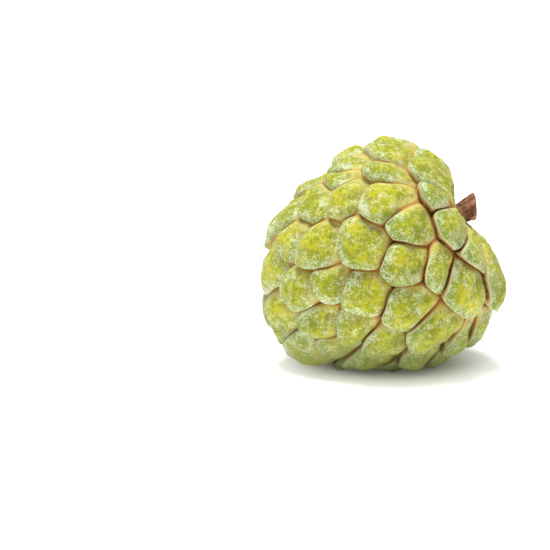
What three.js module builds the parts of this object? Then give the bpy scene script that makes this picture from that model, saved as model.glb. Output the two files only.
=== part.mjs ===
// Whole custard apple: one solid fruit covered in raised scales, with the woody stub of its stalk.
// Millimetres. +X is the fruit's right as it lies, +Y its far side, +Z up. It rests on z = 0.
import * as THREE from 'three';

// ---- driving dimensions ----
const MIDDLE = [2.7, 0.7, 45.9];      // the fruit's middle above the point it rests on
const MEAN_RADIUS = 46.8;              // to the tops of middling scales
const APEX_SWELL = 8.0;                // the pointed end stands out by this much
const APEX_SPREAD = 0.50;              // radians
const STALK_DIP = 12.0;                // the stalk end is flatter by this much
const STALK_SPREAD = 0.95;             // radians
const TILT_SEEN = 12;                  // degrees the front view looks down by
const STALK_IN_VIEW = [30, 5];         // where the stalk points: degrees up from the right, degrees away
const SCALE_BED = 4.0;                 // the grooves' bottom lies this far under MEAN_RADIUS
const SCALE_HEIGHT = 4.5;              // of a scale above the groove
const SOFT_SIDE_DROP = 2.6;            // scales are lower by this much on the soft side
const SOFT_SIDE = [128, -5];
const SOFT_SIDE_SPREAD = 60;           // degrees
const SCALE_LEAN = 1.8;                // a scale's apex edge stands higher, its stalk edge lower
const BORDER_WAVE = 0.54;              // how far the borders wander
const WALL_AT_APEX_EDGE = 2.6;         // width of the steep edge of a scale
const WALL_AT_STALK_EDGE = 6.2;        // width of its sloping edge
const HIDDEN_SCALE_RADIUS = 8.5;
const SCALE_COUNT = 80;                // spiral places round the whole fruit
const EVENING_ROUNDS = 14;
const PIT_CELL_RADIUS = 5.5;           // the bare pit the stalk grows from
const SOCKET_RADIUS = 4.6;
const SOCKET_DEPTH = 3.0;
const STALK_GAP = 0.3;
const STALK_END = 41.2;                // middle of the cut end, from the fruit's middle
const STALK_FOOT_RADIUS = 3.9;
const STALK_END_RADIUS = 5.0;
const STALK_SIDES = 18;

// swells and hollows of the whole fruit: degrees round the front view, degrees away, mm, spread in degrees
const SWELLS = [
  [-24, 0, 7.0, 31], [-48, 0, -0.8, 16], [130, 0, -1.2, 28], [-128, -5, 5.0, 18], [168, 0, 3.8, 22],
  [88, 0, 5.4, 24], [77, 0, 1.3, 8], [55, 0, 6.6, 17], [-104, 0, -2.6, 13], [-112, 22, 2.6, 15],
  [12, 0, 3.8, 13],
];

// the scales of the front: mm to the right, mm up, radius of the scale, from the fruit's middle
const FRONT_SCALES = [
  [2.0, 44.0, 12], [19.0, 33.8, 15.5], [-3.6, 34.8, 7], [-18.6, 37.8, 8], [-22.0, 32.6, 8],
  [-19.3, 24.4, 8], [-32.5, 22.4, 10], [-42.0, 18.0, 8], [-3.0, 21.3, 10], [20.6, 21.6, 7.6],
  [5.6, 11.4, 9.3], [26.2, 12.7, 11.2], [-12.5, 3.8, 10.5], [-29.6, 2.8, 10], [-41.2, 9.0, 7],
  [4.4, -4.4, 9.8], [17.4, -6.8, 7.0], [33.2, 1.6, 9.5], [-25.8, -11.0, 8], [-11.2, -15.8, 9],
  [6.8, -21.2, 10], [30.0, -12.2, 10.5], [45.0, -8.0, 13.5], [-35.2, -16.0, 6.5], [-27.6, -28.4, 9],
  [-15.6, -30.8, 9], [-3.8, -35.8, 8.5], [17.6, -31.0, 10.5], [-26.0, -38.6, 8], [-6.4, -43.0, 8.5],
  [12.7, -42.2, 8.5], [-33.0, -41.2, 8], [28.5, -36.0, 8], [37.0, -31.5, 8], [3.8, -46.3, 7],
  [23.6, -42.5, 7],
];
const DIVISION_RADIUS = 47;            // sphere on which the scales' borders are drawn

// ---- small vector helpers ----
const rad = (d) => d * Math.PI / 180;
const dot = (a, b) => a[0] * b[0] + a[1] * b[1] + a[2] * b[2];
const add = (a, b) => [a[0] + b[0], a[1] + b[1], a[2] + b[2]];
const sub = (a, b) => [a[0] - b[0], a[1] - b[1], a[2] - b[2]];
const mul = (a, s) => [a[0] * s, a[1] * s, a[2] * s];
const cross = (a, b) => [a[1] * b[2] - a[2] * b[1], a[2] * b[0] - a[0] * b[2], a[0] * b[1] - a[1] * b[0]];
const len = (a) => Math.sqrt(dot(a, a));
const unit = (a) => mul(a, 1 / len(a));
const clamp = (x, lo, hi) => Math.min(Math.max(x, lo), hi);
const angle = (a, b) => Math.acos(clamp(dot(a, b), -1, 1));

const RIGHT = [1, 0, 0];
const UP = [0, Math.sin(rad(TILT_SEEN)), Math.cos(rad(TILT_SEEN))];
const AWAY = [0, Math.cos(rad(TILT_SEEN)), -Math.sin(rad(TILT_SEEN))];
const seen = (round, away) => add(
  mul(add(mul(RIGHT, Math.cos(rad(round))), mul(UP, Math.sin(rad(round)))), Math.cos(rad(away))),
  mul(AWAY, Math.sin(rad(away))));

const STALK = seen(...STALK_IN_VIEW);
const SWELL_DIRS = SWELLS.map(([a, b]) => seen(a, b));
const SOFT_DIR = seen(...SOFT_SIDE);

// radius to the scale tops in a direction
function bodyRadius(p) {
  const th = angle(p, STALK);
  let r = MEAN_RADIUS + APEX_SWELL * Math.exp(-(((Math.PI - th) / APEX_SPREAD) ** 2))
    - STALK_DIP * Math.exp(-((th / STALK_SPREAD) ** 2));
  SWELLS.forEach(([, , s, w], k) => { r += s * Math.exp(-((angle(p, SWELL_DIRS[k]) / rad(w)) ** 2)); });
  return r;
}

// ---- where the scales grow ----
function frontSites() {
  return FRONT_SCALES.map(([x, y]) => {
    let r = DIVISION_RADIUS, d;
    for (let k = 0; k < 12; k++) {
      const z = Math.sqrt(Math.max(r * r - x * x - y * y, 9));
      d = unit(add(add(mul(RIGHT, x), mul(UP, y)), mul(AWAY, -z)));
      r = bodyRadius(d) - 1.0;
    }
    return d;
  });
}

// n points spread evenly on a sphere, each a golden angle on from the last
function spiral(n) {
  return Array.from({ length: n }, (_, k) => {
    const z = 1 - 2 * (k + 0.5) / n, a = (k + 0.5) * Math.PI * (3 - Math.sqrt(5)), s = Math.sqrt(1 - z * z);
    return [s * Math.cos(a), s * Math.sin(a), z];
  });
}

// the front's scales as seen, the others on the spiral from the stalk, evened out
function growSites() {
  const fixed = [STALK, ...frontSites()];
  const w = [PIT_CELL_RADIUS, ...FRONT_SCALES.map((s) => s[2])];
  const zax = STALK, xax = unit(cross([0, 0, 1], zax)), yax = cross(zax, xax);
  const spacing = Math.sqrt(4 * Math.PI / SCALE_COUNT) * 1.07;
  let hidden = spiral(SCALE_COUNT)
    .map((p) => add(add(mul(xax, p[0]), mul(yax, p[1])), mul(zax, p[2])))
    .filter((p) => fixed.every((q) => angle(p, q) > 0.80 * spacing));
  const marks = spiral(6000);
  for (let round = 0; round < EVENING_ROUNDS; round++) {
    const c = [...fixed, ...hidden], ww = [...w, ...hidden.map(() => HIDDEN_SCALE_RADIUS)];
    const sum = c.map(() => [0, 0, 0]);
    for (const m of marks) {
      let best = Infinity, at = 0;
      c.forEach((q, k) => {
        const v = 2 * (1 - dot(m, q)) * DIVISION_RADIUS ** 2 - ww[k] ** 2;
        if (v < best) { best = v; at = k; }
      });
      sum[at] = add(sum[at], m);
    }
    hidden = hidden.map((h, k) => (len(sum[fixed.length + k]) > 0 ? unit(sum[fixed.length + k]) : h));
  }
  const sites = [...fixed, ...hidden];
  return { sites, radii: [...w, ...hidden.map(() => HIDDEN_SCALE_RADIUS)] };
}
const { sites: SITES, radii: RADII } = growSites();
const N = SITES.length;
const softness = SITES.map((s) => Math.exp(-((angle(s, SOFT_DIR) / rad(SOFT_SIDE_SPREAD)) ** 2)));
const HEIGHTS = softness.map((s) => SCALE_HEIGHT - SOFT_SIDE_DROP * s);
const APEXWARD = SITES.map((c) => {
  const ax = mul(STALK, -1), t = sub(ax, mul(c, dot(c, ax)));
  return mul(t, 1 / Math.max(len(t), 1e-6));
});

// the borders wander a little: each direction is read from a slightly shifted place
function waved(p) {
  const [x, y, z] = mul(p, DIVISION_RADIUS);
  return unit(add([x, y, z], mul([
    Math.sin(0.31 * y + 0.7) + 0.4 * Math.sin(0.63 * z + 0.2),
    Math.sin(0.29 * z + 1.9) + 0.4 * Math.sin(0.57 * x + 2.0),
    Math.sin(0.33 * x + 4.1) + 0.4 * Math.sin(0.61 * y + 1.0)], BORDER_WAVE)));
}
function unwaved(q) {
  let p = q;
  for (let k = 0; k < 8; k++) p = unit(sub(add(p, q), waved(p)));
  return p;
}

// height of a scale above its groove
function relief(p) {
  const q = waved(p);
  const power = SITES.map((c, k) => 2 * (1 - dot(q, c)) * DIVISION_RADIUS ** 2 - RADII[k] ** 2);
  let i = 0;
  power.forEach((v, k) => { if (v < power[i]) i = k; });
  if (i === 0) return 0;
  let near = 0, wide = 0;                // sums that soften the distance to the nearest borders
  for (let k = 0; k < N; k++) {
    if (k === i) continue;
    const gap = Math.sqrt(Math.max(2 * (1 - dot(SITES[i], SITES[k])), 1e-9)) * DIVISION_RADIUS;
    const e = (power[k] - power[i]) / (2 * gap);
    near += Math.exp(-0.85 * e);
    wide += Math.exp(-0.7 * e);
  }
  const edge = Math.max(-Math.log(near) / 0.85, 0), inner = Math.max(-Math.log(wide) / 0.7 + 0.6, 0);
  const off = mul(sub(q, SITES[i]), DIVISION_RADIUS);
  const along = dot(off, APEXWARD[i]);
  let steep = clamp(0.5 + 0.5 * (along / Math.max(len(off), 1e-6) + 0.3) / 0.8, 0, 1);
  steep = steep * steep * (3 - 2 * steep);
  const width = (WALL_AT_APEX_EDGE + (WALL_AT_STALK_EDGE - WALL_AT_APEX_EDGE) * (1 - steep)) * (1 + 1.3 * softness[i]);
  const t = clamp(edge / width, 0, 1);
  const wall = (1 - (1 - t) ** 2.4) ** (0.5 + 0.4 * (1 - steep));
  const slower = 1 + 0.35 * (1 - steep);
  const dome = 1 - (1 - clamp(inner / (0.95 * slower * RADII[i]), 0, 1)) ** 2;
  const cone = clamp(inner / (0.9 * slower * RADII[i]), 0, 1);
  return HEIGHTS[i] * (0.38 * wall + 0.48 * dome + 0.46 * cone)
    + SCALE_LEAN * clamp(along / RADII[i], -1.2, 1.2) * wall;
}
const surfaceRadius = (p) => bodyRadius(p) - SCALE_BED + relief(p);

// ---- the network of grooves: corners where three scales meet, borders between two ----
const R2 = 2 * DIVISION_RADIUS ** 2;
const pull = (p, k) => dot(p, SITES[k]) * R2 + RADII[k] ** 2;
const corners = [];
for (let i = 0; i < N; i++) {
  for (let j = i + 1; j < N; j++) {
    if (angle(SITES[i], SITES[j]) > 0.9) continue;
    for (let k = j + 1; k < N; k++) {
      if (angle(SITES[i], SITES[k]) > 0.9 || angle(SITES[j], SITES[k]) > 0.9) continue;
      const n1 = sub(SITES[i], SITES[j]), n2 = sub(SITES[i], SITES[k]);
      const c1 = (RADII[j] ** 2 - RADII[i] ** 2) / R2, c2 = (RADII[k] ** 2 - RADII[i] ** 2) / R2;
      const d = cross(n1, n2), dd = dot(d, d);
      if (dd < 1e-12) continue;
      const p0 = mul(add(mul(cross(n2, d), c1), mul(cross(d, n1), c2)), 1 / dd);
      const rest = 1 - dot(p0, p0);
      if (rest <= 0) continue;
      for (const sign of [1, -1]) {
        const p = add(p0, mul(d, sign * Math.sqrt(rest / dd)));
        const v = pull(p, i);
        let clear = true;
        for (let m = 0; m < N && clear; m++) if (m !== i && m !== j && m !== k && pull(p, m) > v) clear = false;
        if (clear) corners.push({ p, of: [i, j, k] });
      }
    }
  }
}

const BORDER_STEP = 3.2;
const points = [];                     // of the whole skin, shared between neighbours
const place = (p) => { points.push(p); return points.length - 1; };
const onGroove = (q) => {
  const p = unwaved(q);
  return place(mul(p, bodyRadius(p) - SCALE_BED));
};
corners.forEach((c) => { c.at = onGroove(c.p); });
const borders = new Map();
for (let a = 0; a < corners.length; a++) {
  for (let b = a + 1; b < corners.length; b++) {
    const both = corners[a].of.filter((k) => corners[b].of.includes(k));
    if (both.length !== 2) continue;
    const [i, j] = both, key = `${i},${j}`;
    if (borders.has(key)) throw new Error(`two borders between scales ${key}`);
    const n = sub(SITES[i], SITES[j]), c = (RADII[j] ** 2 - RADII[i] ** 2) / R2;
    const steps = Math.max(1, Math.round(angle(corners[a].p, corners[b].p) * DIVISION_RADIUS / BORDER_STEP));
    const line = [corners[a].at], flat = [corners[a].p];
    for (let s = 1; s < steps; s++) {
      let q = unit(add(mul(corners[a].p, 1 - s / steps), mul(corners[b].p, s / steps)));
      for (let k = 0; k < 4; k++) q = unit(add(q, mul(n, (c - dot(q, n)) / dot(n, n))));
      line.push(onGroove(q));
      flat.push(q);
    }
    line.push(corners[b].at);
    flat.push(corners[b].p);
    borders.set(key, { line, flat, a, b });
  }
}

const faces = [];
const band = (outer, inner) => {       // closed ring of triangles between two loops, any counts
  let a = 0, b = 0;
  const n = outer.length, m = inner.length;
  while (a < n || b < m) {
    if (b >= m || (a < n && (a + 1) / n <= (b + 1) / m)) {
      faces.push([outer[a % n], outer[(a + 1) % n], inner[b % m]]);
      a++;
    } else {
      faces.push([outer[a % n], inner[(b + 1) % m], inner[b % m]]);
      b++;
    }
  }
};
const fan = (loop, middle) => loop.forEach((v, k) => faces.push([v, loop[(k + 1) % loop.length], middle]));

// loop of a scale's border, anticlockwise seen from outside
function loopOf(i) {
  const mine = [...borders.entries()].filter(([key]) => key.split(',').map(Number).includes(i)).map(([, v]) => v);
  const loop = [], flat = [];
  let now = mine[0].a;
  const left = new Set(mine);
  while (left.size) {
    const next = [...left].find((e) => e.a === now || e.b === now);
    if (!next) throw new Error(`scale ${i} has an open border`);
    left.delete(next);
    const forward = next.a === now;
    const line = forward ? next.line : [...next.line].reverse();
    const ps = forward ? next.flat : [...next.flat].reverse();
    loop.push(...line.slice(0, -1));
    flat.push(...ps.slice(0, -1));
    now = forward ? next.b : next.a;
  }
  let turn = [0, 0, 0];
  flat.forEach((p, k) => { turn = add(turn, cross(p, flat[(k + 1) % flat.length])); });
  if (dot(turn, SITES[i]) < 0) { loop.reverse(); flat.reverse(); }
  return { loop, flat };
}
const U = unit(cross(Math.abs(STALK[2]) < 0.9 ? [0, 0, 1] : [1, 0, 0], STALK)), V = cross(STALK, U);
const RIM = bodyRadius(STALK) - SCALE_BED;

for (let i = 0; i < N; i++) {
  const { loop, flat } = loopOf(i);
  if (i === 0) {                       // bare pit with the stalk's socket
    const ring = (h) => flat.map((p) => {
      const a = Math.atan2(dot(p, V), dot(p, U));
      return place(add(mul(STALK, h), add(mul(U, SOCKET_RADIUS * Math.cos(a)), mul(V, SOCKET_RADIUS * Math.sin(a)))));
    });
    const rim = ring(RIM), bottom = ring(RIM - SOCKET_DEPTH);
    band(loop, rim);
    band(rim, bottom);
    fan(bottom, place(mul(STALK, RIM - SOCKET_DEPTH)));
    continue;
  }
  const middle = unit(flat.reduce((s, p) => add(s, p), [0, 0, 0]));
  const ringAt = (share, thin) => {
    const out = [];
    flat.forEach((p, k) => {
      if (thin && k % 2) return;
      const far = angle(p, middle) * DIVISION_RADIUS, s = share(far);
      const q = unwaved(unit(add(mul(p, 1 - s), mul(middle, s))));
      out.push(place(mul(q, surfaceRadius(q))));
    });
    return out;
  };
  const first = ringAt((far) => Math.min(1.15 / far, 0.3), false);
  const second = ringAt((far) => Math.min(3.0 / far, 0.5), false);
  const third = ringAt(() => 0.62, true);
  const top = unwaved(middle);
  band(loop, first);
  band(first, second);
  band(second, third);
  fan(third, place(mul(top, surfaceRadius(top))));
}

// the low scales are pressed flat where the fruit rests
const skin = points.map((p) => add(p, MIDDLE)).map(([x, y, z]) => [x, y, Math.max(z, 0)]);

function meshOf(verts, tris, colour, name) {
  const g = new THREE.BufferGeometry();
  g.setAttribute('position', new THREE.Float32BufferAttribute(verts.flat(), 3));
  g.setIndex(tris.flat());
  g.computeVertexNormals();
  const m = new THREE.Mesh(g, new THREE.MeshStandardMaterial({ color: colour, roughness: 0.7 }));
  m.name = name;
  return m;
}
const group = new THREE.Group();
group.add(meshOf(skin, faces, 0xb3bd62, 'fruit'));

// ---- the stalk's stub: angular bark, wider at its end, cut off aslant ----
const CUT_NORMAL = unit(add(mul(RIGHT, 1.0), mul(UP, 0.06)));
const stalkPoints = [], stalkFaces = [];
const foot = RIM - SOCKET_DEPTH + STALK_GAP;
const LEVELS = [0, 0.2, 0.42, 0.66, 0.86, 1];
const barkRadius = (a, t) => {
  const flare = STALK_FOOT_RADIUS + (STALK_END_RADIUS - STALK_FOOT_RADIUS) * t * t * (3 - 2 * t);
  return flare * (1 + (0.02 + 0.06 * t) * Math.cos(3 * a + 0.6) + 0.045 * t * Math.cos(5 * a + 2.0));
};
LEVELS.forEach((t) => {
  for (let k = 0; k < STALK_SIDES; k++) {
    const a = 2 * Math.PI * k / STALK_SIDES, r = barkRadius(a, t);
    const across = add(mul(U, r * Math.cos(a)), mul(V, r * Math.sin(a)));
    const reach = STALK_END - dot(across, CUT_NORMAL) / dot(STALK, CUT_NORMAL);   // to the slanted cut
    stalkPoints.push(add(add(across, mul(STALK, foot + (reach - foot) * t)), MIDDLE));
  }
});
for (let l = 0; l < LEVELS.length - 1; l++) {
  for (let k = 0; k < STALK_SIDES; k++) {
    const a = l * STALK_SIDES + k, b = l * STALK_SIDES + (k + 1) % STALK_SIDES;
    stalkFaces.push([a, b, b + STALK_SIDES], [a, b + STALK_SIDES, a + STALK_SIDES]);
  }
}
const last = (LEVELS.length - 1) * STALK_SIDES;
stalkPoints.push(add(mul(STALK, foot), MIDDLE), add(mul(STALK, STALK_END), MIDDLE));
for (let k = 0; k < STALK_SIDES; k++) {
  const n = (k + 1) % STALK_SIDES;
  stalkFaces.push([n, k, stalkPoints.length - 2], [last + k, last + n, stalkPoints.length - 1]);
}
group.add(meshOf(stalkPoints, stalkFaces, 0x5a3a28, 'stem'));

export default group;
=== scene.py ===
import bpy
import numpy as np
from mathutils import Matrix


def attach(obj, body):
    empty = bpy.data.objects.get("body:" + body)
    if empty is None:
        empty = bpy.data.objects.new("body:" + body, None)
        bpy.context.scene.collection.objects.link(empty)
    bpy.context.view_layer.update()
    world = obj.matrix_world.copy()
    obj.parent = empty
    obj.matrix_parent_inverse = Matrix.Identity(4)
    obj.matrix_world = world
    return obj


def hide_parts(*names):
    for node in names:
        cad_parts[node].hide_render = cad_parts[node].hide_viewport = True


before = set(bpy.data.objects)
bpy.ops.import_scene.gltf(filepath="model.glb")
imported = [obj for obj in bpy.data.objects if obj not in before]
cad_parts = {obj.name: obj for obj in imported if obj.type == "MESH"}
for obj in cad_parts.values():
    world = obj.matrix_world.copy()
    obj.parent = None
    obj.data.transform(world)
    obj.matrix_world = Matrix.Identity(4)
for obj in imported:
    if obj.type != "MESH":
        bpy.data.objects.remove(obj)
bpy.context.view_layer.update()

# The fruit's skin: one closed rind over the whole fruit, raised into scales, each the tip of one of the
# flower's many carpels. The scales lean towards the pointed end and overhang their grooves on that side.
# It is waxy, pale where the bloom still lies on it, and cream to tan down in the grooves; shade and
# highlights are partly painted into its colour.
MM = 0.001
MIDDLE = np.array([2.7, 0.7, 45.9])     # the fruit's middle, in mm from the origin on the table
MEAN_RADIUS = 46.8
APEX_SWELL = 8.0                        # the swell at the pointed end, with its spread in radians
APEX_SPREAD = 0.50
STALK_DIP = 12.0                        # the hollow round the stalk, with its spread in radians
STALK_SPREAD = 0.95
TILT_SEEN = np.radians(12.0)            # how far the camera looks down
STALK_IN_VIEW = (30, 5)                 # degrees up from the right in the front view, degrees away
DIVISION_RADIUS = 47.0                  # the sphere on which the skin is divided into scales
SCALE_BED = 4.0                         # how far the grooves lie under the body's mean surface
SCALE_HEIGHT = 4.5
SOFT_SIDE_DROP = 2.6                    # how much lower the scales are on the soft side
SOFT_SIDE = (128, -5)
SOFT_SIDE_SPREAD = 60.0

# swells of the whole fruit: degrees round the front view, degrees away, mm, spread in degrees
SWELLS = [
    (-24, 0, 7.0, 31), (-48, 0, -0.8, 16), (130, 0, -1.2, 28), (-128, -5, 5.0, 18), (168, 0, 3.8, 22),
    (88, 0, 5.4, 24), (77, 0, 1.3, 8), (55, 0, 6.6, 17), (-104, 0, -2.6, 13), (-112, 22, 2.6, 15),
    (12, 0, 3.8, 13),
]

# the scales of the front: mm to the right, mm up, radius of the scale
FRONT_SCALES = [
    (2.0, 44.0, 12), (19.0, 33.8, 15.5), (-3.6, 34.8, 7), (-18.6, 37.8, 8), (-22.0, 32.6, 8),
    (-19.3, 24.4, 8), (-32.5, 22.4, 10), (-42.0, 18.0, 8), (-3.0, 21.3, 10), (20.6, 21.6, 7.6),
    (5.6, 11.4, 9.3), (26.2, 12.7, 11.2), (-12.5, 3.8, 10.5), (-29.6, 2.8, 10), (-41.2, 9.0, 7),
    (4.4, -4.4, 9.8), (17.4, -6.8, 7.0), (33.2, 1.6, 9.5), (-25.8, -11.0, 8), (-11.2, -15.8, 9),
    (6.8, -21.2, 10), (30.0, -12.2, 10.5), (45.0, -8.0, 13.5), (-35.2, -16.0, 6.5), (-27.6, -28.4, 9),
    (-15.6, -30.8, 9), (-3.8, -35.8, 8.5), (17.6, -31.0, 10.5), (-26.0, -38.6, 8), (-6.4, -43.0, 8.5),
    (12.7, -42.2, 8.5), (-33.0, -41.2, 8), (28.5, -36.0, 8), (37.0, -31.5, 8), (3.8, -46.3, 7),
    (23.6, -42.5, 7),
]
PIT_CELL_RADIUS = 5.5                   # the plain cell in which the stalk stands
HIDDEN_SCALE_RADIUS = 8.5               # the scales that do not show from the front
SCALE_COUNT = 80
EVENING_ROUNDS = 14
SPARE_SPACING = 0.856                   # how near a hidden scale may start to one that shows, in spacings
GROUND_MARKS = 6000
SIGHT_ROUNDS = 12
SITE_DEPTH = 1.0                        # a scale's site lies this far under the body's surface
LEAST_FORWARD = 3.0                     # and at least this far in front of the fruit's middle

RIGHT = np.array([1.0, 0.0, 0.0])
UP = np.array([0.0, np.sin(TILT_SEEN), np.cos(TILT_SEEN)])
AWAY = np.array([0.0, np.cos(TILT_SEEN), -np.sin(TILT_SEEN)])


def unit(v):
    """Each row divided by its length."""
    return v / np.linalg.norm(v, axis=-1, keepdims=True)


def seen(round_deg, away_deg):
    """The direction that lies round_deg up from the right in the front view and away_deg behind its plane."""
    a, b = np.radians(round_deg), np.radians(away_deg)
    return np.cos(b) * (np.cos(a) * RIGHT + np.sin(a) * UP) + np.sin(b) * AWAY


def angle_to(p, direction):
    """Angle in radians between each row of p and a direction, from their dot product."""
    return np.arccos(np.clip(p @ direction, -1, 1))


def smooth(t):
    """3 t squared minus 2 t cubed, with t held between 0 and 1."""
    t = np.clip(t, 0, 1)
    return t * t * (3 - 2 * t)


def bell(angle, spread):
    """e to the power of minus the square of angle over spread."""
    return np.exp(-(angle / spread) ** 2)


STALK = seen(*STALK_IN_VIEW)


def body_radius(p):
    """Mean radius, plus APEX_SWELL times a bell at the apex, minus one at the stalk, plus one per swell."""
    from_stalk = angle_to(p, STALK)
    r = MEAN_RADIUS + APEX_SWELL * bell(np.pi - from_stalk, APEX_SPREAD)
    r = r - STALK_DIP * bell(from_stalk, STALK_SPREAD)
    for round_deg, away_deg, swell, spread in SWELLS:
        r = r + swell * bell(angle_to(p, seen(round_deg, away_deg)), np.radians(spread))
    return r


def spiral(n):
    """n points evenly spread on a sphere: equal steps in height, each a golden angle on from the last."""
    k = np.arange(n) + 0.5
    z = 1 - 2 * k / n
    a = k * np.pi * (3 - np.sqrt(5))
    s = np.sqrt(1 - z * z)
    return np.stack([s * np.cos(a), s * np.sin(a), z], -1)


def front_sites():
    """Where the front's scales sit: each sight line through (x, y) is met with the body by SIGHT_ROUNDS
    corrections of its forward distance, the square root of the radius squared less x and y squared."""
    xy = np.array([s[:2] for s in FRONT_SCALES], float)
    r = np.full(len(xy), DIVISION_RADIUS)
    for _ in range(SIGHT_ROUNDS):
        forward = np.sqrt(np.maximum(r * r - (xy ** 2).sum(1), LEAST_FORWARD ** 2))
        d = unit(xy[:, :1] * RIGHT + xy[:, 1:] * UP - forward[:, None] * AWAY)
        r = body_radius(d) - SITE_DEPTH
    return d


def powers(q, sites, radius):
    """Each direction's squared distance from each site, in mm, less the square of that site's radius."""
    return 2 * (1 - q @ sites.T) * DIVISION_RADIUS ** 2 - radius ** 2


def grow_sites():
    """The stalk, the front's scales, then spiral points round the stalk that are clear of those.
    Each round moves every free point to the middle of the ground nearest to it, so they even out."""
    fixed = np.vstack([STALK[None], front_sites()])
    across = unit(np.cross([0, 0, 1.0], STALK))
    free = spiral(SCALE_COUNT) @ np.stack([across, np.cross(STALK, across), STALK])
    spacing = np.sqrt(4 * np.pi / SCALE_COUNT)
    free = free[(angle_to(free, fixed.T) > SPARE_SPACING * spacing).all(1)]
    radius = [PIT_CELL_RADIUS] + [s[2] for s in FRONT_SCALES] + [HIDDEN_SCALE_RADIUS] * len(free)
    radius = np.array(radius, float)
    marks = spiral(GROUND_MARKS)
    for _ in range(EVENING_ROUNDS):
        sites = np.vstack([fixed, free])
        owner = powers(marks, sites, radius).argmin(1)
        free = np.array([unit(marks[owner == k].sum(0)) for k in range(len(fixed), len(sites))])
    return np.vstack([fixed, free]), radius


SITES, RADII = grow_sites()
SOFTNESS = bell(angle_to(SITES, seen(*SOFT_SIDE)), np.radians(SOFT_SIDE_SPREAD))
HEIGHTS = SCALE_HEIGHT - SOFT_SIDE_DROP * SOFTNESS
APEXWARD = -STALK + (SITES @ STALK)[:, None] * SITES
APEXWARD = APEXWARD / np.maximum(np.linalg.norm(APEXWARD, axis=1, keepdims=True), 1e-6)

BORDER_WAVE = 0.54                      # mm that the borders wander for each unit of the waves below
LONG_WAVES = np.array([[0.31, 0.7], [0.29, 1.9], [0.33, 4.1]])      # per axis: radians per mm, start
SHORT_WAVES = np.array([[0.63, 0.2], [0.57, 2.0], [0.61, 1.0]])
SHORT_WAVE_SHARE = 0.4


def waved(p):
    """Each direction shifted along x, y and z by a long sine wave of the next axis's place and a short
    one of the axis after that, so that straight borders wander."""
    place = p * DIVISION_RADIUS
    wave = np.sin(LONG_WAVES[:, 0] * np.roll(place, -1, axis=1) + LONG_WAVES[:, 1])
    short = np.sin(SHORT_WAVES[:, 0] * np.roll(place, -2, axis=1) + SHORT_WAVES[:, 1])
    return unit(place + BORDER_WAVE * (wave + SHORT_WAVE_SHARE * short))


def unwaved(q):
    """The direction that waved() takes to q, found by eight corrections."""
    p = q
    for _ in range(8):
        p = unit(p + q - waved(p))
    return p


LATTICE_SIDE = 32
LATTICE = np.random.default_rng(11).random((LATTICE_SIDE, LATTICE_SIDE, LATTICE_SIDE))


def lumps(x, size):
    """Smooth random heights between -1 and 1: a lattice of random values, `size` mm apart, blended by
    the product of the smoothed distances along the three axes."""
    g = x / size
    low = np.floor(g).astype(int)
    f = smooth(g - low)
    total = np.zeros(len(x))
    for corner in np.ndindex(2, 2, 2):
        c = np.array(corner)
        weight = np.prod(np.where(c, f, 1 - f), axis=1)
        i = (low + c) % LATTICE_SIDE
        total = total + weight * LATTICE[i[:, 0], i[:, 1], i[:, 2]]
    return 2 * total - 1


EDGE_SHARPNESS = 2.2                    # per mm: how sharply the three measures of a border's distance turn
ROUNDED_SHARPNESS = 0.85                # at a scale's corners
INNER_SHARPNESS = 0.7
INNER_LIFT = 0.6


def rounded_least(e, sharpness):
    """The least value of each row, rounded off where two are close: minus the logarithm of the sum of
    e to the power of minus sharpness times each value, over sharpness."""
    return -np.log(np.exp(-sharpness * e).sum(1)) / sharpness


def gaps_to_neighbours(q):
    """For each direction: its scale, the nearest border's distance in mm, rounded off a little, more, and
    most, and the unit direction towards that border. A border's distance is the difference of the
    two scales' powers over twice the distance between their sites."""
    power = powers(q, SITES, RADII)
    own = power.argmin(1)
    rows = np.arange(len(q))
    apart = np.sqrt(np.maximum(2 * (1 - SITES @ SITES.T), 1e-9)) * DIVISION_RADIUS
    e = (power - power[rows, own][:, None]) / (2 * apart[own])
    e[rows, own] = 1e3
    edge = np.maximum(rounded_least(e, EDGE_SHARPNESS), 0)
    rounded = np.maximum(rounded_least(e, ROUNDED_SHARPNESS), 0)
    inner = np.maximum(rounded_least(e, INNER_SHARPNESS) + INNER_LIFT, 0)
    near = np.exp(-EDGE_SHARPNESS * e)
    outward = (near @ SITES) / near.sum(1)[:, None] - SITES[own]
    return own, edge, rounded, inner, unit(outward)


def cube_sphere(n):
    """Directions on a sphere from a cube's six faces, each an n by n grid with equal angles, their shared
    edges merged, and the quads between them, facing out."""
    u = np.tan(np.linspace(-np.pi / 4, np.pi / 4, n))
    a, b = np.meshgrid(u, u, indexing="ij")
    o = np.ones_like(a)
    sides = [(o, a, b), (-o, b, a), (b, o, a), (a, -o, b), (a, b, o), (b, a, -o)]
    p = np.concatenate([unit(np.stack(s, -1)).reshape(-1, 3) for s in sides])
    k = np.arange(n * n).reshape(n, n)
    quad = np.stack([k[:-1, :-1], k[1:, :-1], k[1:, 1:], k[:-1, 1:]], -1).reshape(-1, 4)
    quads = np.concatenate([quad + f * n * n for f in range(6)])
    key = np.round(p * 1e5).astype(int)
    _, first, merged = np.unique(key, axis=0, return_index=True, return_inverse=True)
    return p[first], merged.reshape(-1)[quads]


GRID_SIDE = 129
CROWD = 0.62                            # how far the grid is drawn towards the grooves
CROWD_REACH = 4.5                       # mm from a groove

q, skin_quads = cube_sphere(GRID_SIDE)
own, edge, rounded, inner, outward = gaps_to_neighbours(q)
pull = CROWD * edge * np.clip(1 - edge / CROWD_REACH, 0, 1) ** 2
q = unit(q + outward * (pull / DIVISION_RADIUS)[:, None])
own, edge, rounded, inner, outward = gaps_to_neighbours(q)
p = unwaved(q)

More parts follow.
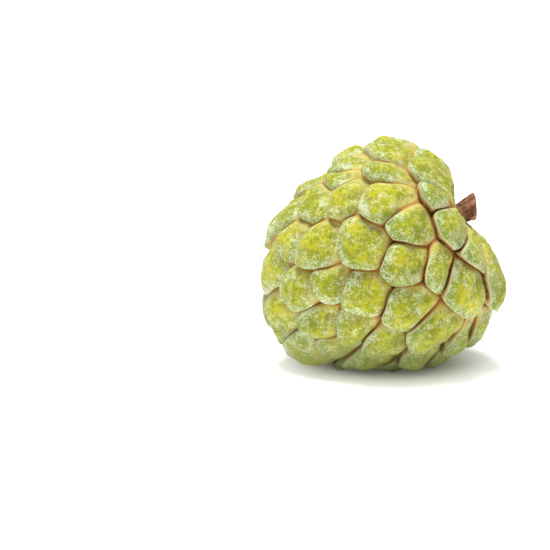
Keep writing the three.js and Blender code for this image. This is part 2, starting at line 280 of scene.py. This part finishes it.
SIDE_BLEND = 0.8                        # how gradually a scale's stalk side turns into its apex side
STEEP_AHEAD = 0.3                       # how far round the steep wall reaches past the apex side
WALL_AT_APEX_EDGE = 2.6                 # mm from the groove to the top of the wall
WALL_AT_STALK_EDGE = 6.2
SHARPER = 0.75                          # the apex wall takes a quarter of the width it has in the solid
SOFT_KEEPS = 0.8                        # how much of that sharpening the soft side goes without
SOFT_WIDENS = 1.3                       # how much wider the walls are on the soft side
WALL_CURVE = 2.4                        # the powers that give the wall its section
WALL_STEEP_POWER = 0.5
WALL_GENTLE_POWER = 0.9
WALL_SHARE = 0.38                       # shares of a scale's height
DOME_SHARE = 0.48
CONE_SHARE = 0.46
DOME_REACH = 0.95                       # in radii of the scale
CONE_REACH = 0.9
GENTLE = 0.35                           # how much further they reach on the stalk side
SCALE_LEAN = 1.8                        # mm that the apex side is raised and the stalk side lowered
LEAN_LIMIT = 1.2

off = (q - SITES[own]) * DIVISION_RADIUS
along = (off * APEXWARD[own]).sum(1)
turned = along / np.maximum(np.linalg.norm(off, axis=1), 1e-6)
apex_side = smooth(0.5 + 0.5 * turned / SIDE_BLEND)
steep_side = smooth(0.5 + 0.5 * (turned + STEEP_AHEAD) / SIDE_BLEND)
soft = SOFTNESS[own]
width = WALL_AT_APEX_EDGE + (WALL_AT_STALK_EDGE - WALL_AT_APEX_EDGE) * (1 - steep_side)
width = width * (1 - SHARPER * steep_side * (1 - SOFT_KEEPS * soft))
t = np.clip(rounded / (width * (1 + SOFT_WIDENS * soft)), 0, 1)
wall_power = WALL_STEEP_POWER + (WALL_GENTLE_POWER - WALL_STEEP_POWER) * (1 - steep_side)
wall = (1 - (1 - t) ** WALL_CURVE) ** wall_power
reach = (1 + GENTLE * (1 - steep_side)) * RADII[own]
dome = 1 - (1 - np.clip(inner / (DOME_REACH * reach), 0, 1)) ** 2
cone = np.clip(inner / (CONE_REACH * reach), 0, 1)
height = HEIGHTS[own] * (WALL_SHARE * wall + DOME_SHARE * dome + CONE_SHARE * cone)
height = height + SCALE_LEAN * np.clip(along / RADII[own], -LEAN_LIMIT, LEAN_LIMIT) * wall
height[own == 0] = 0

# dents and bumps: mm high, mm across, and how far their lattice is shifted so that none repeats another
SCALE_DENTS = [(1.40, 6.0, 7.7 * own[:, None]), (0.55, 2.8, 31.0), (0.15, 1.4, 0.0)]
PIT_DENTS = [(0.5, 1.9, 3.0), (0.25, 0.9, 0.0)]
FLAT_EDGE = 2.5                         # the dents fade out within this many mm of a groove
LIP = 0.20                              # the raised lip along a scale's apex edge
LIP_PLACE = 0.7                         # mm from the groove
LIP_WIDTH = 0.4
OVERHANG = 1.25                         # how far that edge stands out over the groove
SOFT_LIP_LOSS = 0.6                     # how much of the lip and the overhang the soft side goes without
SOFT_OVERHANG_LOSS = 0.7

place = p * DIVISION_RADIUS
scale_dents = sum(high * lumps(place + shift, size) for high, size, shift in SCALE_DENTS)
pit_dents = sum(high * lumps(place + shift, size) for high, size, shift in PIT_DENTS)
on_scale = own > 0
uneven = np.where(on_scale, scale_dents, pit_dents)
lip = LIP * bell(rounded - LIP_PLACE, LIP_WIDTH) * apex_side * (1 - SOFT_LIP_LOSS * soft)
height = height + uneven * smooth(edge / FLAT_EDGE) + lip * on_scale
overhang = OVERHANG * wall * apex_side * (1 - SOFT_OVERHANG_LOSS * soft) * on_scale

skin = p * (body_radius(p) - SCALE_BED + height)[:, None]
skin = skin + APEXWARD[own] * overhang[:, None] + MIDDLE
skin[:, 2] = np.maximum(skin[:, 2], 0)


def new_piece(name, points, faces, **values):
    """A smooth-shaded mesh object from points in mm and an array of faces, with named values per point."""
    mesh = bpy.data.meshes.new(name)
    sides = faces.shape[1]
    mesh.vertices.add(len(points))
    mesh.vertices.foreach_set("co", (points * MM).astype(np.float32).ravel())
    mesh.loops.add(faces.size)
    mesh.loops.foreach_set("vertex_index", faces.astype(np.int32).ravel())
    mesh.polygons.add(len(faces))
    mesh.polygons.foreach_set("loop_start", np.arange(0, faces.size, sides, dtype=np.int32))
    mesh.polygons.foreach_set("use_smooth", np.ones(len(faces), bool))
    mesh.update(calc_edges=True)
    for key, value in values.items():
        mesh.attributes.new(key, "FLOAT", "POINT").data.foreach_set("value", value.astype(np.float32))
    mesh.validate()
    piece = bpy.data.objects.new(name, mesh)
    bpy.context.collection.objects.link(piece)
    return piece


ROUNDED_SHARE = 0.65                    # the colours round a scale's corners off less than its wall does
PIT_REACH = 4.5                         # mm from the pit's edge to where it is all brown
tone = np.random.default_rng(5).random(len(SITES))
colour_edge = (1 - ROUNDED_SHARE) * edge + ROUNDED_SHARE * rounded
pit = (own == 0) * smooth(edge / PIT_REACH)
skin_piece = new_piece(
    "scaly_skin", skin, skin_quads,
    edge=colour_edge, apexside=apex_side, tone=tone[own], soft=soft, crest=uneven, pit=pit,
)


def colour(r, g, b):
    """A colour as seen on a screen, 0 to 1, turned into linear light: over 12.92 where it is dark, and
    elsewhere the power 2.4 of the colour plus 0.055 over 1.055."""
    c = np.array([r, g, b])
    return tuple(np.where(c <= 0.04045, c / 12.92, ((c + 0.055) / 1.055) ** 2.4)) + (1.0,)


def new_material(name):
    """An empty node material, its node tree and its Principled shader."""
    m = bpy.data.materials.new(name)
    m.use_nodes = True
    return m, m.node_tree, m.node_tree.nodes["Principled BSDF"]


def put(tree, kind, inputs=(), **settings):
    """A node of a kind with its settings and its inputs, each a value or another node's output."""
    n = tree.nodes.new(kind)
    for key, value in settings.items():
        setattr(n, key, value)
    for key, value in dict(inputs).items():
        if isinstance(value, bpy.types.NodeSocket):
            tree.links.new(value, n.inputs[key])
        else:
            n.inputs[key].default_value = value
    return n


def stored(tree, name):
    """The value that the mesh holds under a name."""
    return put(tree, "ShaderNodeAttribute", attribute_name=name).outputs["Fac"]


def on_object(tree):
    """The place on the object, in metres from its origin."""
    return put(tree, "ShaderNodeTexCoord").outputs["Object"]


def blend(tree, amount, low, high):
    """Colours low and high mixed by amount."""
    return put(tree, "ShaderNodeMix", {0: amount, 6: low, 7: high}, data_type="RGBA").outputs[2]


def ramp(tree, value, start, end, low=0.0, high=1.0):
    """low until value reaches start, high from end on, and smoothly between."""
    n = put(tree, "ShaderNodeMapRange", {0: value, 1: start, 2: end, 3: low, 4: high},
            interpolation_type="SMOOTHSTEP")
    return n.outputs[0]


def combine(tree, a, sign, b):
    """a and b added, subtracted, multiplied or divided, as the sign says."""
    kind = {"+": "ADD", "-": "SUBTRACT", "*": "MULTIPLY", "/": "DIVIDE"}[sign]
    return put(tree, "ShaderNodeMath", {0: a, 1: b}, operation=kind).outputs[0]


def grain(tree, place, size_mm, detail=3.0, rough=0.55, twist=0.0):
    """Noise whose lumps are about size_mm across, between 0 and 1."""
    n = put(tree, "ShaderNodeTexNoise", {
        "Vector": place, "Scale": 1.0 / (size_mm * MM), "Detail": detail, "Roughness": rough,
        "Distortion": twist})
    return n.outputs[0]


GREEN = colour(0.57, 0.60, 0.04)
YELLOW = colour(0.77, 0.75, 0.02)
# painted shade: the green of a scale's apex edge in shade, partly that edge's own colour
SHADED = colour(0.50, 0.59, 0.12)
BLOOM = colour(0.83, 0.86, 0.69)
CREAM = colour(0.82, 0.76, 0.38)
# painted highlight along the scales' apex edges
RIM_HIGHLIGHT = colour(0.88, 0.88, 0.66)
# the grooves' tan, partly their own colour and partly painted warm glow
TAN_AND_GLOW = colour(0.76, 0.54, 0.24)
# painted shade at the bottom of the grooves
CREVICE_SHADE = colour(0.18, 0.08, 0.03)
# painted shade near the table
TABLE_SHADE = colour(0.52, 0.56, 0.32)
PIT_DARK = colour(0.28, 0.17, 0.07)
PIT_PALE = colour(0.55, 0.44, 0.20)

skin_material, tree, shader = new_material("waxy_skin")
spot = on_object(tree)
from_groove = stored(tree, "edge")
to_apex = stored(tree, "apexside")
soft_here = stored(tree, "soft")
crest = stored(tree, "crest")
broad = grain(tree, spot, 9.0, 2.0)
patch = grain(tree, spot, 3.4, 2.0, 0.5)
fine = grain(tree, spot, 1.05, 4.0, 0.78, 1.0)
finer = grain(tree, spot, 0.6, 3.0, 0.7)
spots = grain(tree, spot, 1.7, 3.0, 0.65, 0.4)
crisp = ramp(tree, soft_here, 0.1, 0.8, 1.0, 0.15)

# the flesh: green, yellow in patches and on crests (partly riper skin, partly painted highlight), and a
# painted shade down a scale's apex edge, partly its own greener colour
ripe = combine(tree, combine(tree, broad, "*", 0.4), "+", combine(tree, stored(tree, "tone"), "*", 0.10))
# yellower where the dents rise: partly riper skin, partly painted highlight on the raised bumps
ripe = combine(tree, ripe, "+", combine(tree, crest, "*", 0.07))
flesh = blend(tree, ramp(tree, combine(tree, spots, "+", ripe), 0.66, 0.92), GREEN, YELLOW)
# painted shade: the flesh turns to the shaded green down each scale's apex edge, partly that edge's own
# greener colour
apex_edge_shade = combine(tree, ramp(tree, from_groove, 5.0, 1.0), "*", ramp(tree, to_apex, 0.35, 0.95, 0.0, 0.9))
flesh = blend(tree, combine(tree, apex_edge_shade, "*", crisp), flesh, SHADED)

# the bloom: pale wax in fine flecks, thicker near the edges and in patches, rubbed off the crests
thick = combine(tree, ramp(tree, from_groove, 0.8, 5.5, 0.035, -0.015), "+", combine(tree, patch, "*", 0.22))
thick = combine(tree, thick, "-", combine(tree, crest, "*", 0.012))
flecks = combine(tree, combine(tree, fine, "*", 0.38), "+", combine(tree, finer, "*", 0.40))
bloom = ramp(tree, combine(tree, flecks, "+", thick), 0.500, 0.576)
top = blend(tree, bloom, flesh, BLOOM)

# the grooves: a cream slope on the stalk side, a painted highlight as a pale rim on the apex side, then tan
# that is partly painted warm glow, and painted shade dark at the bottom
slope_reach = ramp(tree, to_apex, 0.10, 0.60, 4.2, 0.4)
slope = ramp(tree, combine(tree, from_groove, "/", slope_reach), 1.0, 0.2)
top = blend(tree, combine(tree, slope, "*", ramp(tree, fine, 0.35, 0.65, 0.35, 0.95)), top, CREAM)
# painted highlight: a pale line just inside each scale's apex edge
rim_highlight = combine(tree, ramp(tree, from_groove, 0.85, 0.65), "*", ramp(tree, to_apex, 0.2, 0.6, 0.1, 0.8))
top = blend(tree, combine(tree, rim_highlight, "*", crisp), top, RIM_HIGHLIGHT)
# tan down the grooves' sides: partly the grooves' own colour, partly painted warm glow of light shining
# through and bouncing in them
tan_reach = ramp(tree, to_apex, 0.2, 0.8, 1.1, 0.5)
tan = ramp(tree, combine(tree, from_groove, "/", tan_reach), 1.0, 0.3)
top = blend(tree, combine(tree, tan, "*", ramp(tree, soft_here, 0.1, 0.8, 1.0, 0.3)), top, TAN_AND_GLOW)
# painted shade: a dark line at the bottom of the grooves, strongest under the overhanging apex edges, fading
# on the soft side
open_groove = ramp(tree, combine(tree, soft_here, "+", patch), 0.45, 1.0, 1.0, 0.0)
crevice_shade = combine(tree, ramp(tree, from_groove, 0.28, 0.08), "*", open_groove)
crevice_shade = combine(tree, crevice_shade, "*", ramp(tree, to_apex, 0.1, 0.5, 0.6, 1.0))
top = blend(tree, combine(tree, crevice_shade, "*", 0.9), top, CREVICE_SHADE)

# painted shade: duller and darker near the table; and brown in the pit
height_up = put(tree, "ShaderNodeSeparateXYZ", {0: spot}).outputs[2]
top = blend(tree, ramp(tree, height_up, 0.032, 0.0, 0.0, 0.5), top, TABLE_SHADE)
top = blend(tree, stored(tree, "pit"), top, blend(tree, ramp(tree, fine, 0.35, 0.65), PIT_DARK, PIT_PALE))
tree.links.new(top, shader.inputs["Base Color"])
tree.links.new(ramp(tree, bloom, 0, 1, 0.46, 0.62), shader.inputs["Roughness"])
shader.inputs["Specular IOR Level"].default_value = 0.35
shader.inputs["Subsurface Weight"].default_value = 0.10
shader.inputs["Subsurface Radius"].default_value = (0.0015, 0.0012, 0.0004)
wax = put(tree, "ShaderNodeBump", {"Height": fine, "Strength": 0.9, "Distance": 0.0008})
pores = put(tree, "ShaderNodeBump", {
    "Height": finer, "Strength": 0.5, "Distance": 0.00025, "Normal": wax.outputs[0]})
tree.links.new(pores.outputs[0], shader.inputs["Normal"])

skin_piece.data.materials.append(skin_material)
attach(skin_piece, "root")
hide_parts("fruit")

# The stalk's stub: woody, with angular bark, wider where it was cut from the tree. It is grown into the
# bottom of the pit at one end of the fruit, and its cut end is aslant and shows paler wood.
STALK_END = 41.2                        # mm from the fruit's middle to the middle of the cut
STALK_FOOT_RADIUS = 3.9
STALK_END_RADIUS = 5.0
STALK_SINK = 1.5                        # how far the foot goes down under the pit's floor
CUT_NORMAL = unit(RIGHT + 0.06 * UP)
BLUNT = 1.8                             # the most that the cut's rounded long side may stand out
BARK_ROUND = 144                        # points round the stub, along it, and across its cut
BARK_LONG = 90
CUT_STEPS = 24
# the stub's corners: how many, where they start in radians, their share of the radius at the foot, and
# how much that grows towards the cut
CORNERS = [(3, 0.6, 0.02, 0.06), (5, 2.0, 0.0, 0.045)]
RIDGE_HEIGHT = 0.28                     # ridges that run along the stub
RIDGES_ROUND = 4.0                      # per radian round the stub
RIDGES_LONG = 3.0                       # over the stub's length
RIDGE_SHIFT = 3.3
FLAKE_HEIGHT = 0.16
FLAKE_SIZE = 0.9
FLAKE_SHIFT = 5.0
RIDGES_AT_CUT = 0.35                    # the share of the ridges' height that is left at the cut's rim
RIDGES_FADE = 0.03                      # and the share of the stub's length over which they sink to it
CUT_FROM = 0.985                        # the share of the stub's length where the pale wood begins
WOOD_GRAIN = 0.12
WOOD_GRAIN_SIZE = 0.8
CUT_DEPTH = 0.5                         # how far the cut's middle lies under its rim
CUT_DISH = 0.35                         # how far the rest is hollowed further

stalk_u = unit(np.cross([0, 0, 1.0], STALK))
stalk_v = np.cross(STALK, stalk_u)
foot = body_radius(STALK[None])[0] - SCALE_BED - STALK_SINK


def around(a):
    """The direction at angle a round the stalk: cos a times one side plus sin a times the other."""
    return np.cos(a)[:, None] * stalk_u + np.sin(a)[:, None] * stalk_v


def bark_point(a, s):
    """A point of the stub: angle a round it and share s of the way to the slanted cut, its radius flaring
    from foot to end and multiplied by 1 plus a cosine round the stub for each row of CORNERS. Where the
    cut stands out past its middle by h, it is blunted to BLUNT times (1 less e to the power -h / BLUNT)."""
    flare = STALK_FOOT_RADIUS + (STALK_END_RADIUS - STALK_FOOT_RADIUS) * smooth(s)
    r = flare * (1 + sum((share + grows * s) * np.cos(n * a + start) for n, start, share, grows in CORNERS))
    across = r[:, None] * around(a)
    longer = -(across @ CUT_NORMAL) / (STALK @ CUT_NORMAL)
    end = STALK_END + np.where(longer > 0, BLUNT * (1 - np.exp(-longer / BLUNT)), longer)
    return across + (foot + (end - foot) * s)[:, None] * STALK


round_steps = np.linspace(0, 2 * np.pi, BARK_ROUND, endpoint=False)
a, s = np.meshgrid(round_steps, np.linspace(0, 1, BARK_LONG), indexing="ij")
a, s = a.ravel(), s.ravel()
bark = bark_point(a, s)
ridges = RIDGE_HEIGHT * lumps(np.stack([a * RIDGES_ROUND, s * RIDGES_LONG, 0 * s], -1) + RIDGE_SHIFT, 1.0)
ridges = ridges + FLAKE_HEIGHT * lumps(bark + FLAKE_SHIFT, FLAKE_SIZE)
ridges = ridges * (RIDGES_AT_CUT + (1 - RIDGES_AT_CUT) * smooth((1 - s) / RIDGES_FADE))
bark = bark + around(a) * ridges[:, None]
cut_rim = bark.reshape(BARK_ROUND, BARK_LONG, 3)[:, -1]

# the cut: rings that shrink from its rim to its middle, dished by 1 less the fourth power of their size
rings = np.linspace(1, 0, CUT_STEPS + 1)[1:-1]
centre = STALK * (STALK_END - CUT_DEPTH)
cut = centre + rings[None, :, None] * (cut_rim - centre)[:, None, :]
cut = (cut - STALK * (CUT_DISH * (1 - rings ** 4))[None, :, None]).reshape(-1, 3)
cut = cut + STALK * (WOOD_GRAIN * lumps(cut, WOOD_GRAIN_SIZE))[:, None]

bark_grid = np.arange(len(bark)).reshape(BARK_ROUND, BARK_LONG)
cut_grid = np.arange(len(cut)).reshape(BARK_ROUND, CUT_STEPS - 1) + len(bark)
sheet = np.concatenate([bark_grid, cut_grid], axis=1)
next_row = np.roll(sheet, -1, axis=0)
stalk_quads = np.stack([sheet[:, :-1], next_row[:, :-1], next_row[:, 1:], sheet[:, 1:]], -1).reshape(-1, 4)
foot_at = sheet.size
end_at = sheet.size + 1
stalk_tris = np.concatenate([
    stalk_quads[:, [0, 1, 2]], stalk_quads[:, [0, 2, 3]],
    np.stack([sheet[:, -1], next_row[:, -1], np.full(BARK_ROUND, end_at)], -1),
    np.stack([next_row[:, 0], sheet[:, 0], np.full(BARK_ROUND, foot_at)], -1),
])
stalk_points = np.concatenate([bark, cut, STALK[None] * foot, (centre - STALK * CUT_DISH)[None]]) + MIDDLE
on_cut = np.concatenate([smooth((s - CUT_FROM) / (1 - CUT_FROM)), np.ones(len(cut)), [0.0], [1.0]])
ring = np.concatenate([np.ones(len(bark)), np.tile(rings, BARK_ROUND), [1.0], [0.0]])
stem_piece = new_piece("stalk_stub", stalk_points, stalk_tris, cut=on_cut, ring=ring)

BARK_DARK = colour(0.42, 0.26, 0.18)
BARK_PALE = colour(0.66, 0.48, 0.36)
BARK_SPECK = colour(0.24, 0.14, 0.10)
WOOD_DARK = colour(0.52, 0.37, 0.25)
WOOD_PALE = colour(0.68, 0.55, 0.40)
PITH = colour(0.40, 0.27, 0.18)
BARK_EDGE = colour(0.33, 0.20, 0.13)

bark_material, tree, shader = new_material("stalk_bark")
spot = on_object(tree)
ring_here = stored(tree, "ring")
coarse = grain(tree, spot, 2.4, 3.0)
speck = grain(tree, spot, 0.7, 4.0, 0.65)
bark_brown = blend(tree, ramp(tree, coarse, 0.35, 0.65), BARK_DARK, BARK_PALE)
bark_brown = blend(tree, ramp(tree, speck, 0.58, 0.72, 0.0, 0.7), bark_brown, BARK_SPECK)
wood = blend(tree, ramp(tree, speck, 0.3, 0.7), WOOD_DARK, WOOD_PALE)
wood = blend(tree, ramp(tree, ring_here, 0.30, 0.12), wood, PITH)
wood = blend(tree, ramp(tree, ring_here, 0.84, 0.95), wood, BARK_EDGE)
tree.links.new(blend(tree, stored(tree, "cut"), bark_brown, wood), shader.inputs["Base Color"])
shader.inputs["Roughness"].default_value = 0.78
shader.inputs["Specular IOR Level"].default_value = 0.25
rough_bark = put(tree, "ShaderNodeBump", {"Height": speck, "Strength": 0.6, "Distance": 0.0004})
tree.links.new(rough_bark.outputs[0], shader.inputs["Normal"])

stem_piece.data.materials.append(bark_material)
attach(stem_piece, "root")
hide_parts("stem")

# The table under the fruit: a plain white board that glows so that it runs into the white behind it.
# Its glow fades towards a point just behind and right of the fruit, so that the grey there is partly the
# fruit's cast shadow and partly painted shadow where the glow is weak.
BOARD_HALF = 4000.0
SHADOW_MIDDLE = (0.003, 0.014, 0)       # metres
board_corners = np.array([[-1, -1, 0], [1, -1, 0], [1, 1, 0], [-1, 1, 0]]) * BOARD_HALF
board = new_piece("floor", board_corners, np.array([[0, 1, 2, 3]]))
board_material, tree, shader = new_material("white_board")
shader.inputs["Base Color"].default_value = (0.92, 0.92, 0.92, 1)
shader.inputs["Roughness"].default_value = 0.5
shader.inputs["Specular IOR Level"].default_value = 0.2
shader.inputs["Emission Color"].default_value = (1, 1, 1, 1)
from_fruit = put(tree, "ShaderNodeVectorMath", {0: on_object(tree), 1: SHADOW_MIDDLE}, operation="DISTANCE")
from_fruit = from_fruit.outputs["Value"]
near_glow = ramp(tree, from_fruit, 0.025, 0.056, 0.05, 0.62)
far_glow = ramp(tree, from_fruit, 0.058, 0.14, 0.0, 0.16)
tree.links.new(combine(tree, near_glow, "+", far_glow), shader.inputs["Emission Strength"])
board.data.materials.append(board_material)

# The light: white surroundings, brighter above, behind and to the right, and one wide soft lamp high above,
# a little to the left and in front.
world = bpy.data.worlds.new("studio")
bpy.context.scene.world = world
world.use_nodes = True
tree = world.node_tree
background = tree.nodes["Background"]
background.inputs[0].default_value = (1, 1, 1, 1)
sky = put(tree, "ShaderNodeSeparateXYZ", {0: put(tree, "ShaderNodeTexCoord").outputs["Generated"]}).outputs
sky_light = ramp(tree, sky[2], 0.0, 0.9, 0.22, 0.45)
sky_light = combine(tree, sky_light, "*", ramp(tree, sky[1], -0.8, 0.8, 0.66, 1.4))
sky_light = combine(tree, sky_light, "*", ramp(tree, sky[0], -0.8, 0.8, 0.78, 1.12))
tree.links.new(sky_light, background.inputs[1])
LAMP_FROM = np.array([-110.0, -60.0, 900.0])
lamp = bpy.data.lights.new("key", "AREA")
lamp.shape = "DISK"
lamp.size = 0.5
lamp.energy = 12.4
lamp_object = bpy.data.objects.new("key", lamp)
bpy.context.collection.objects.link(lamp_object)


def aim(thing, at, towards, up):
    """Puts a lamp or camera at a point in mm, looking at another, with its top edge along `up`: its back
    is the direction from the second point, its side that of up across its back."""
    back = unit(np.asarray(at) - np.asarray(towards))
    side = unit(np.cross(up, back))
    turn = np.eye(4)
    turn[:3, :3] = np.stack([side, np.cross(back, side), back], -1)
    turn[:3, 3] = np.asarray(at) * MM
    thing.matrix_world = Matrix(turn.tolist())


aim(lamp_object, MIDDLE + LAMP_FROM, MIDDLE, np.array([0, 0, 1.0]))

# The camera: a long lens, 12 degrees above the table, with the fruit right of the middle of the frame.
CAMERA_DISTANCE = 900.0
SENSOR = 36
FRAME_SIDE = 550
PIXEL = 0.4087                          # mm of the fruit that one pixel spans
FRUIT_AT = (389.3, 254.3)               # the fruit's middle in the 550 by 550 frame
frame_middle = MIDDLE + RIGHT * (FRAME_SIDE / 2 - FRUIT_AT[0]) * PIXEL
frame_middle = frame_middle + UP * (FRUIT_AT[1] - FRAME_SIDE / 2) * PIXEL
camera = bpy.data.cameras.new("camera")
camera.sensor_width = SENSOR
camera.lens = SENSOR * CAMERA_DISTANCE / (FRAME_SIDE * PIXEL)
camera.clip_end = 100
camera_object = bpy.data.objects.new("camera", camera)
bpy.context.collection.objects.link(camera_object)
aim(camera_object, frame_middle - AWAY * CAMERA_DISTANCE, frame_middle, UP)
bpy.context.scene.camera = camera_object
bpy.context.scene.view_settings.view_transform = "Standard"
